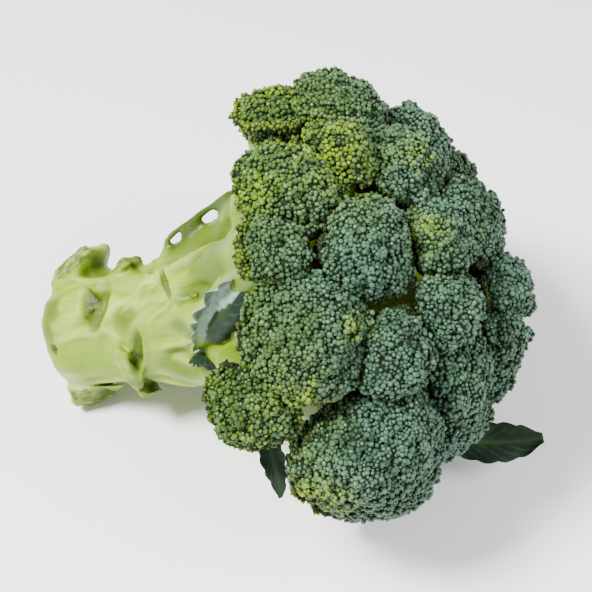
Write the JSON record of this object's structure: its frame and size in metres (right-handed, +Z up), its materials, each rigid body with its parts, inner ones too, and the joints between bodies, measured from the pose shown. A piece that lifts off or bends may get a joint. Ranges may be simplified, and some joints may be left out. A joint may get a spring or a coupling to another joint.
{
  "type": "broccoli head",
  "caption": "Whole broccoli head lying on its side: a thick cut stalk with trimmed leaf stumps, forking stems, a domed crown of bud heads and a few small leaves.",
  "frame": {"origin": "on the surface that the head lies on, under the middle of its box", "axes": "+X from the cut end of the stalk to the top of the crown, +Z up"},
  "size_m": [0.1814, 0.1472, 0.1351],
  "materials": {
    "stalk_skin": "satin",
    "stem_skin": "satin",
    "buds": "matte",
    "leaf_dark": "satin",
    "leaf_bloom": "matte"
  },
  "bodies": {
    "root": {"main_stalk": "stalk_skin", "floret_stem_01": "stem_skin", "floret_stem_02": "stem_skin", "floret_stem_03": "stem_skin", "floret_stem_04": "stem_skin", "floret_stem_05": "stem_skin", "floret_stem_06": "stem_skin", "floret_stem_07": "stem_skin", "floret_stem_08": "stem_skin", "floret_stem_09": "stem_skin", "floret_stem_10": "stem_skin", "floret_stem_11": "stem_skin", "floret_stem_12": "stem_skin", "floret_stem_13": "stem_skin", "floret_stem_14": "stem_skin", "floret_stem_15": "stem_skin", "floret_stem_16": "stem_skin", "floret_stem_17": "stem_skin", "floret_stem_18": "stem_skin", "floret_stem_19": "stem_skin", "floret_stem_20": "stem_skin", "bud_head_01": "buds", "bud_head_02": "buds", "bud_head_03": "buds", "bud_head_04": "buds", "bud_head_05": "buds", "bud_head_06": "buds", "bud_head_07": "buds", "bud_head_08": "buds", "bud_head_09": "buds", "bud_head_10": "buds", "bud_head_11": "buds", "bud_head_12": "buds", "bud_head_13": "buds", "bud_head_14": "buds", "bud_head_15": "buds", "bud_head_16": "buds", "bud_head_17": "buds", "bud_head_18": "buds", "bud_head_19": "buds", "bud_head_20": "buds", "bud_head_21": "buds", "bud_head_22": "buds", "bud_head_23": "buds", "bud_head_24": "buds", "bud_head_25": "buds", "bud_head_26": "buds", "bud_head_27": "buds", "bud_head_28": "buds", "bud_head_29": "buds", "bud_head_30": "buds", "bud_head_31": "buds", "bud_head_32": "buds", "bud_head_33": "buds", "leaf_curled": "leaf_bloom", "leaf_folded": "leaf_dark", "leaf_hanging": "leaf_dark", "leaf_low": "leaf_dark", "side_shoot": "stem_skin"}
  },
  "joints": []
}
